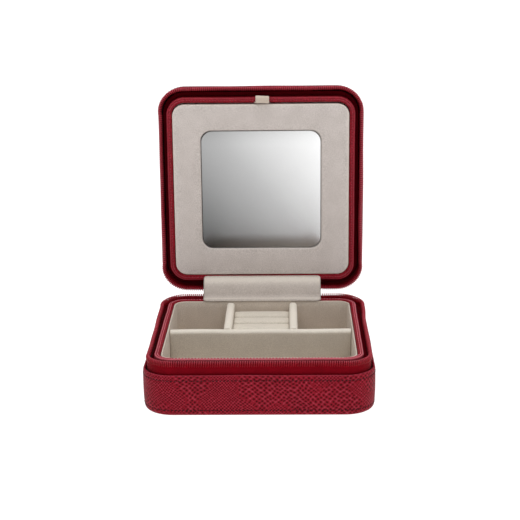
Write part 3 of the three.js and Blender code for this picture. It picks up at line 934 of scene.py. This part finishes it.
def board_shell(half):
    """The book-board box under the leather, seen only as the dark channel inside the zip."""
    outer = LEATHER + 0.3
    foot = SKIN_ROUND[half] - 0.6
    inner = COLLAR_INSET - 0.3
    tape_back = TAPE_INSET + TAPE_THICK + 0.3
    section = [(outer + foot, outer, scale) for scale in (0.02, 0.3, 0.6, 0.85)]
    section += full_size(arc((outer + foot, outer + foot), foot, 270, 180, 6))
    section += full_size([(outer, TAPE_FOOT - 0.3), (tape_back, TAPE_FOOT - 0.3)])
    section += full_size([(tape_back, BOARD_TOP), (inner, BOARD_TOP), (inner, outer + foot)])
    section += [(inner, outer + 2.0, scale) for scale in (1.0, 0.8, 0.5, 0.02)]

    def shape(along, inset, height, out):
        return inset + drawn_in(half, height, out) * (inset < inner), height

    points = wall(evenly(2.5), np.array(section), shape)
    form = Form()
    form.grid(points, around=True)
    form.cap(points[:, 0])
    form.cap(points[:, -1])
    piece(f"{half}_book_board", form, BOARD, half, f"{half}_board_shell", half, sharp=40)


for half in ("base", "lid"):
    board_shell(half)
    leather_band(half)
    zip_tape(half)
    zip_coil(half)
    collar(half)
outer_panel("base", "base_underside", "base_bottom_leather", 0.0)
outer_panel("lid", "lid_padded_top", "lid_top_leather", 1.3)
lining("base", LINING_RIM)
lining("lid", LID_LINING_RIM)


# ---- the tray ----
def crowned(points, place):
    """Raises the top of a pad in the middle and leaves its edges where they are."""
    dome = (1 - clamp(np.abs(place[..., :2])) ** 2.4).prod(-1)
    points[..., 2] += 0.45 * dome * (place[..., 2] > 0)
    return points


def padded_divider(axis):
    """Fuller in the middle of its height, with the faint unevenness of foam under suede."""
    def push(points, place):
        full = 1 - 0.04 * place[..., 2] ** 2
        run = points[..., axis]
        full = full + 0.012 * np.sin(run / 3.7) + 0.010 * np.sin(run / 8.3 + 1)
        points[..., 1 - axis] *= full
        points[..., 2] += 0.10 * np.sin(run / 6.1 + 0.6) * (place[..., 2] > 0.8)
        return points
    return push


def plump_roll(points, place):
    """Raises a roll's top, a little less at its two ends, and parts it from its neighbours."""
    points[..., 2] += (0.92 - 0.22 * clamp(np.abs(place[..., 0])) ** 4) * (place[..., 2] > 0.3)
    points[..., 1] *= 0.975
    return points


def tray():
    # Each divider and roll gets a painted highlight along its top, where the light from above falls.
    long_wall = fitted("long_divider", 1.6, 0.35, 0, padded_divider(0), runs=60, rub=0.5)
    made = piece("long_padded_divider", long_wall, CUSHION_SUEDE, "base", "long_divider")
    for side in ("left", "right"):
        plump = np.array([0.26, 0, 0])
        short_wall = fitted(f"{side}_divider", 1.7, 0.35, 1, padded_divider(1), plump, runs=40, rub=0.6)
        name = f"{side}_padded_divider"
        made = piece(name, short_wall, CUSHION_SUEDE, "base", f"{side}_divider")
    for place in ("front", "left", "right"):
        pad = fitted(f"{place}_tray_pad", 4.5, 0.6, 2, crowned, runs=1, rings=14)
        name = f"{place}_floor_pad"
        made = piece(name, pad, LINING_SUEDE, "base", f"{place}_tray_pad")

    for number in range(1, 5):
        roll = fitted(f"ring_roll_{number}", 3.4, 0.45, 0, plump_roll, runs=24, rub=0.25)
        name = f"ring_cushion_{number}"
        made = piece(name, roll, CUSHION_SUEDE, "base", f"ring_roll_{number}")
    bed = fitted("ring_cushion_bed", 0.8, 0.4, 2, runs=2)
    piece("ring_cushion_base", bed, BOARD, "base", "ring_cushion_bed")


tray()


# ---- the mirror flap ----
WINDOW_CORNER = 6.0
PANEL_EDGE, WINDOW_EDGE = 0.9, 0.8  # how far the panel is rounded over outside and at its window


def mirror_panel():
    """A padded suede frame, open in the middle to the mirror."""
    low, high = span("mirror_frame")
    glass_low, glass_high = span("mirror_glass")
    half = (high[0] - low[0]) / 2 + 0.6
    outer_radius = CORNER - (CASE_HALF - half)
    window = (glass_high - glass_low) / 2 + [0.7, 0, 0.3]
    centre_z = (low[2] + high[2]) / 2
    glass_z = (glass_low[2] + glass_high[2]) / 2 - centre_z
    thick = high[1] - low[1]

    def outer_row(inset, depth):
        loop = rounded(half - inset, half - inset, outer_radius - inset, 12, 40)
        loop[:, 1] -= 0.7 * smooth(loop[:, 1] / half)
        return standing(loop, depth)

    def window_row(inset, depth):
        loop = rounded(window[0] + inset, window[2] + inset, WINDOW_CORNER + inset, 12, 40)
        return standing(loop, depth, z=glass_z)

    rows = [outer_row(0.3, thick), outer_row(0.0, thick - 0.3)]
    over = np.radians(np.linspace(0, 90, 7))
    for angle in over:
        rows.append(outer_row(PANEL_EDGE * (1 - math.cos(angle)), PANEL_EDGE * (1 - math.sin(angle))))
    outside = outer_row(PANEL_EDGE + 1.2, -0.12)
    inside = window_row(WINDOW_EDGE + 1.2, -0.1)
    for share in np.linspace(0, 1, 10):
        blended = outside * (1 - share) + inside * share
        blended[:, 1] -= 0.22 * math.sin(math.pi * share)
        rows.append(blended)
    for angle in over[::-1]:
        rows.append(window_row(WINDOW_EDGE * (1 - math.cos(angle)), WINDOW_EDGE * (1 - math.sin(angle))))
    rows.append(window_row(0.0, thick))
    # A painted highlight over the panel's rounded outer edge.
    highlighted = np.zeros(len(rows))
    highlighted[2:9] = [0.2, 0.5, 0.7, 0.7, 0.5, 0.3, 0.1]
    form = Form()
    rows = np.array(rows) + [0, low[1], centre_z]
    form.grid(rows, around=True, across=True, flat=(0, 2), wear=highlighted[:, None])
    made = piece("mirror_panel", form, PANEL_SUEDE, "mirror_flap", "mirror_frame")


def mirror_and_back():
    behind_frame = np.array([0.5, 0, 0.05])
    glass = fitted("mirror_glass", 6.4, 0.35, 1, grow=behind_frame, quarter=12, runs=2, rings=4)
    piece("bevelled_mirror", glass, MIRROR, "mirror_flap", "mirror_glass", sharp=50)
    back = fitted("flap_back_suede", 5.8, 0.25, 1, quarter=10, runs=1, rings=10)
    piece("flap_back_cover", back, PANEL_SUEDE, "mirror_flap", "flap_back_suede")


def ribbon_tab():
    """A folded loop of ribbon at the panel's top."""
    low, high = span("flap_pull_tab")
    front, foot = low[1], low[2]
    fold = [(front + 3.1, foot + 0.1), (front + 2.1, foot + 0.5), (front + 0.9, foot + 1.9)]
    fold += [(front + 0.2, foot + 3.3), (front + 0.55, foot + 4.15), (front + 1.3, foot + 3.9)]
    fold += [(front + 1.75, foot + 2.6), (front + 2.3, foot + 1.2), (front + 2.6, foot + 0.7)]
    tab = Form()
    strap(tab, curve(fold, 48), (high[0] - low[0]) / 2, 0.38, corner=0.2, across=24)
    points = tab.points[0]
    points[:, 0] += 1.1
    points[:, 2] -= 0.05 * points[:, 0]
    made = piece("ribbon_tab", tab, RIBBON, "mirror_flap", "flap_pull_tab")
    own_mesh(made)


def flap_hinge_cloth():
    """The strip of cloth at the panel's foot that the flap turns on."""
    low, high = span("flap_hinge_tape")
    height = (low[2] + high[2]) / 2
    run = [(low[1] + 0.2, height), (high[1], height)]
    tape = Form()
    strap(tape, curve(run, 12), (high[0] - low[0]) / 2, 0.4, corner=0.3)
    made = piece("flap_hinge_cloth", tape, RIBBON, "lid", "flap_hinge_tape", rides=False)
    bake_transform(made)


mirror_panel()
mirror_and_back()
ribbon_tab()
flap_hinge_cloth()


# ---- what the lid holds behind the mirror ----
def hook_bar():
    bar = fitted("necklace_hook_bar", 1.6, 0.6, 1, runs=2, straight=30)
    made = piece("padded_hook_bar", bar, PANEL_SUEDE, "lid", "necklace_hook_bar")


def necklace_hook(number):
    """A bent wire with a ball at its tip, on a small round plate."""
    low, high = span(f"necklace_hook_{number}")
    x = (low[0] + high[0]) / 2
    back, front, foot, top = high[1], low[1], low[2] + 0.7, high[2] - 0.7
    route = [(x, back, foot), (x, back - 2.1, foot), (x, front + 1.1, foot + 1.2)]
    route += [(x, front + 0.75, foot + 3.7), (x, front + 1.1, top)]
    path = curve(route, 40)
    radius = np.full(len(path), 0.55)
    radius[-6:] = [0.62, 0.78, 0.9, 0.92, 0.78, 0.35]
    form = Form()
    swept(form, path, radius, 10)
    plate_low = np.array([x - 1.7, back - 0.35, foot - 1.7])
    plate_high = np.array([x + 1.7, back + 0.02, foot + 1.7])
    soft_block(form, plate_low, plate_high, 1.65, 0.12, 1, runs=1, rings=3)
    name = f"necklace_wire_hook_{number}"
    piece(name, form, METAL, "lid", f"necklace_hook_{number}", sharp=50)


def gathers(x):
    """The ruffles that the elastic hem pulls into the pocket's suede."""
    return np.sin(x * 2.4 + 0.5 * np.sin(x * 0.31))


def chain_pocket():
    """A pocket for the chains' ends, gathered along its top by an elastic hem."""
    low, high = span("necklace_pocket")
    deep = high[1] - low[1] - 1.2
    x = np.linspace(low[0], high[0], 161)
    side = smooth((high[0] - np.abs(x)) / 4)
    rows = []
    for share in np.linspace(0, 1, 26):
        wave = (0.42 * np.exp(-share * 3.2) + 0.05) * gathers(x)
        fall = 0.42 * math.sin(math.pi * min(share * 1.2, 1)) ** 0.6
        depth = low[1] + 0.5 + deep * (1 - side) + 0.3 * (1 - fall) + wave * side
        z = high[2] - share * (high[2] - low[2])
        rows.append(np.stack([x, depth, np.full_like(x, z)], -1))
    outside = np.array(rows)
    inside = outside[::-1] + [0, 1.1, 0]
    form = Form()
    form.grid(np.concatenate([outside, inside]), around=True, flat=(0, 2))
    pocket = piece("gathered_pocket", form, PANEL_SUEDE, "lid", "necklace_pocket")

    x = np.linspace(low[0] + 1, high[0] - 1, 321)
    side = smooth((high[0] - np.abs(x)) / 4)
    depth = low[1] + 0.9 + deep * (1 - side) + 0.45 * gathers(x) * side
    hem = Form()
    swept(hem, np.stack([x, depth, np.full_like(x, high[2] - 0.3)], -1), 0.75, 10)
    piece("pocket_elastic_hem", hem, PANEL_SUEDE, "lid")


hook_bar()
for number in range(1, 6):
    necklace_hook(number)
chain_pocket()


# ---- the hinge side ----
def gusset():
    """The suede that falls from the lid over the hinge and onto the tray's rear rim."""
    low, high = span("hinge_gusset")
    back, top = high[1], high[2]
    seat = low[2] + 0.12
    collar_line = CASE_HALF - COLLAR_INSET
    fall = [(back - 0.1, top), (back - 0.4, top - 0.8), (back - 2.4, top - 2.1), (back - 5.0, top - 4.4)]
    fall += [(back - 6.7, top - 7.0), (back - 7.6, top - 9.0), (collar_line - 0.4, seat + 0.5)]
    fall += [(collar_line - 1.4, seat + 0.08)]
    fall += [(low[1], seat), (low[1] - 0.75, seat - 0.12), (low[1] - 1.3, seat - 0.75)]
    path = curve(fall, 72)
    run = np.linspace(0, 1, len(path))
    length = float(distances(path)[-1])
    hem_above = 0.35 * bell(run * length, 0.9)
    hem_below = 0.1 * bell((1 - run) * length, 0.8)
    thick = 0.5 + hem_above + hem_below

    def ripple(x, share):
        slack = np.sin(math.pi * clamp(share / 0.8)) ** 2
        folds = 0.16 * np.sin(x / 9.5 + 0.8) + 0.10 * np.sin(x / 4.6 + 2 * share)
        return slack * (folds - 0.2)

    # Painted highlights: across the upper fold, which faces the light above, and along the strip at its
    # foot.
    highlighted = 0.5 * bell(run - 0.16, 0.16) + 0.3 * bell(run - 0.86, 0.07)
    form = Form()
    half_width = (high[0] - low[0]) / 2
    strap(form, path, half_width, thick, corner=1.6, across=90, ripple=ripple, wear=highlighted[:, None])
    made = piece("suede_gusset", form, GUSSET_SUEDE_PAINTED_SHADE, "base", "hinge_gusset", rides=False)
    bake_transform(made)


def spine():
    """The leather strap that joins the halves outside, with a row of stitches down each side."""
    low, high = span("spine_leather")
    inner = 1.1
    front, floor = low[1] + inner / 2, low[2]
    crest = high[2] - inner / 2
    radius = crest - BAND_TOP
    upright = np.stack([np.full(12, front), np.linspace(floor, BAND_TOP, 12)], -1)
    bend = arc((front + radius, BAND_TOP), radius, 180, 90, 24)[1:]
    level = np.stack([np.linspace(front + radius, high[1], 10)[1:], np.full(9, crest)], -1)
    path = np.concatenate([upright, bend, level])
    half_width = (high[0] - low[0]) / 2
    form = Form()
    strap(form, path, half_width, inner, corner=1.2, across=60)
    made = piece("spine_strap", form, LIZARD, "base", "spine_leather", rides=False)
    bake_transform(made)

    run = distances(path)
    spots = np.arange(2.2, run[-1] - 1.6, STITCH_PITCH)
    line = np.stack([np.interp(spots, run, path[:, i]) for i in (0, 1)], -1)
    tangent = unit(np.stack([np.interp(spots, run, np.gradient(path[:, i], run)) for i in (0, 1)], -1))
    stitching = Form()
    for side in (-1, 1):
        for face in (-1, 1):
            out = np.stack([0 * spots, face * tangent[:, 1], -face * tangent[:, 0]], -1)
            heading = np.stack([0 * spots, tangent[:, 0], tangent[:, 1]], -1)
            middle = np.stack([0 * spots + side * (half_width - 2), line[:, 0], line[:, 1]], -1)
            threads(stitching, middle + out * inner / 2, heading, out)
    made = piece("spine_stitching", stitching, DARK_THREAD, "base", rides=False)
    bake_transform(made)


gusset()
spine()


# ---- zip sliders ----
SLIDER_PLATE = 0.9
SLIDER_OUTER = CASE_HALF + 0.4


def slider_body(side):
    """Two plates either side of the teeth, a wedge that joins them, and the bridge for the pull."""
    low, high = span(f"zip_slider_{side}")
    x = (low[0] + high[0]) / 2
    half = (high[0] - low[0]) / 2
    toward_end = 1 if side == "right" else -1

    def tapered(points, place):
        along = place[..., 0] * toward_end
        points[..., 2] *= 1 - 0.22 * smooth((-along + 0.2) / 1.2)
        return points

    form = Form()
    plates = [(SLIDER_OUTER - SLIDER_PLATE, SLIDER_OUTER, high[2], 2.0)]
    plates += [(low[1], low[1] + SLIDER_PLATE, PARTING + 1, 1.8)]
    for front, back, crest, corner in plates:
        foot_corner = np.array([low[0], front, low[2]])
        crest_corner = np.array([high[0], back, crest])
        soft_block(form, foot_corner, crest_corner, corner, 0.28, 1, tapered, runs=2, rings=4)
    lead = x + toward_end * (half - 1.6)
    wedge_low = np.array([lead - 1.4, low[1] + 0.6, PARTING - 0.2])
    wedge_high = np.array([lead + 1.4, SLIDER_OUTER - 0.6, PARTING + 0.2])
    soft_block(form, wedge_low, wedge_high, 0.15, 0.12, 1, runs=2, rings=3)
    rise = [(x - 3.0, SLIDER_OUTER - 0.2, PARTING), (x - 2.95, SLIDER_OUTER + 0.7, PARTING)]
    rise += [(x - 2.3, SLIDER_OUTER + 1.4, PARTING)]
    bridge = [*rise, (x, SLIDER_OUTER + 1.42, PARTING)]
    bridge += [(2 * x - a, b, c) for a, b, c in reversed(rise)]
    swept(form, curve(bridge, 48), 0.42, 12)
    piece(f"{side}_slider_body", form, METAL, f"slider_{side}", f"zip_slider_{side}", sharp=50)


def pull_tag(side):
    """A ring round the slider's bridge, and a pear-shaped tag with a hole near its foot."""
    low, high = span(f"zip_pull_{side}")
    x = (low[0] + high[0]) / 2
    bar = (low[1] + high[1]) / 2
    form = Form()
    angle = np.linspace(0, 2 * math.pi, 33)[:-1]
    rows = []
    for turn in np.linspace(0, 2 * math.pi, 12, endpoint=False):
        reach = 0.98 + 0.3 * math.cos(turn)
        loop = np.stack([0 * angle, reach * np.cos(angle), reach * np.sin(angle)], -1)
        rows.append(loop + [x + 0.8 * math.sin(turn), bar, PARTING])
    form.grid(np.array(rows), around=True, across=True)

    neck, foot = PARTING - 0.95, low[2]
    reach = (neck - foot) / 2
    middle = (neck + foot) / 2
    widest = (high[0] - low[0]) / 2
    hole_radius, hole_z = 1.3, widest - reach
    spread = np.linspace(0, 2 * math.pi, 65)[:-1]
    tall = -np.cos(spread)
    width = 1.0 + (widest - 1.0) * smooth((1 - tall) / 1.5)
    across = width * np.sign(np.sin(spread)) * np.abs(np.sin(spread)) ** 0.45
    outline = np.stack([across, reach * tall], -1)
    hole = np.stack([np.sin(spread), tall], -1)
    rows = []
    edge = ((0.0, -0.2), (0.06, -0.33), (0.2, -0.4), (0.5, -0.42), (0.62, -0.3), (0.8, -0.26))
    for inset, depth in edge:
        rows.append((outline * (1 - inset / np.array([widest, reach])), depth))
    hole_edge = ((0.75, -0.26), (0.55, -0.3), (0.42, -0.42), (0.15, -0.4), (0.0, -0.25))
    for inset, depth in hole_edge:
        rows.append((hole * (hole_radius + inset) + [0, hole_z], depth))
    front = [standing(loop, bar + depth, x, middle) for loop, depth in rows]
    behind = [standing(loop, bar - depth, x, middle) for loop, depth in rows]
    form.grid(np.array(front + behind[::-1]), around=True, across=True)
    piece(f"{side}_pull_tag", form, METAL, f"pull_{side}", f"zip_pull_{side}", sharp=40)


for side in ("left", "right"):
    slider_body(side)
    pull_tag(side)

flap_core = frame["nodes"]["flap_board"].data
flap_core.materials.clear()
flap_core.materials.append(PANEL_SUEDE)


# ---- studio ----
def surroundings():
    """White at the height of the floor's far edge, fading to a dim dome overhead."""
    world = bpy.data.worlds.new("soft_dome")
    bpy.context.scene.world = world
    world.use_nodes = True
    tree = world.node_tree
    direction = tree.nodes.new("ShaderNodeTexCoord")
    parts = tree.nodes.new("ShaderNodeSeparateXYZ")
    fading = tree.nodes.new("ShaderNodeValToRGB")
    elements = fading.color_ramp.elements
    elements.new(0.5)
    for element, (height, shade) in zip(elements, ((0.0, 0.95), (0.07, 0.9), (0.26, 0.175))):
        element.position = height
        element.color = (shade, shade, shade, 1)
    tree.links.new(direction.outputs["Generated"], parts.inputs["Vector"])
    tree.links.new(parts.outputs["Z"], fading.inputs["Fac"])
    tree.links.new(fading.outputs["Color"], tree.nodes["Background"].inputs["Color"])
    tree.nodes["Background"].inputs["Strength"].default_value = 1.0


def floor():
    """A pale table with a glow of its own, on which the case casts only a faint shadow."""
    mesh = bpy.data.meshes.new("floor")
    reach = 6.0
    corners = [(-reach, -reach, 0), (reach, -reach, 0), (reach, reach, 0), (-reach, reach, 0)]
    mesh.from_pydata(corners, [], [(0, 1, 2, 3)])
    table = bpy.data.objects.new("floor", mesh)
    table.location.z = -0.0002
    bpy.context.scene.collection.objects.link(table)
    pale = bpy.data.materials.new("light_table")
    pale.use_nodes = True
    shader = pale.node_tree.nodes["Principled BSDF"]
    shader.inputs["Base Color"].default_value = (0.2, 0.2, 0.2, 1)
    shader.inputs["Roughness"].default_value = 0.9
    shader.inputs["Emission Color"].default_value = (1, 1, 1, 1)
    shader.inputs["Emission Strength"].default_value = 1.08
    mesh.materials.append(pale)


def softbox(name, place, size, power):
    """A square lamp that faces the middle of the case."""
    lamp = bpy.data.lights.new(name, "AREA")
    lamp.size = size
    lamp.energy = power
    lit = bpy.data.objects.new(name, lamp)
    lit.location = place
    lit.rotation_mode = "QUATERNION"
    lit.rotation_quaternion = (Vector((0, 0, 0.05)) - lit.location).to_track_quat("-Z", "Y")
    bpy.context.scene.collection.objects.link(lit)


def camera():
    """Straight at the front of the case from a little above, with a long lens."""
    aim = np.array([0.13, 0.0, 63.92]) / 1000
    distance = 0.69896
    azimuth, elevation, roll = np.radians([1.205, 14.912, -0.619])
    level = math.cos(elevation)
    back = np.array([math.sin(azimuth) * level, -math.cos(azimuth) * level, math.sin(elevation)])
    right = unit(np.cross(-back, [0, 0, 1]))
    up = np.cross(right, -back)
    turned_right = right * math.cos(roll) + up * math.sin(roll)
    turned_up = -right * math.sin(roll) + up * math.cos(roll)
    lens = bpy.data.cameras.new("camera")
    lens.sensor_width = 36.0
    lens.lens = 93.29
    lens.clip_start = 0.01
    lens.clip_end = 50.0
    viewer = bpy.data.objects.new("camera", lens)
    columns = (turned_right, turned_up, back, aim + back * distance)
    viewer.matrix_world = Matrix([*np.column_stack(columns).tolist(), (0, 0, 0, 1)])
    bpy.context.scene.collection.objects.link(viewer)
    bpy.context.scene.camera = viewer


bpy.context.scene.view_settings.view_transform = "Standard"
surroundings()
floor()
softbox("overhead", (0, -0.15, 1.1), 1.2, 12.0)
softbox("front_right", (0.75, -0.95, 0.75), 0.8, 1.0)
camera()
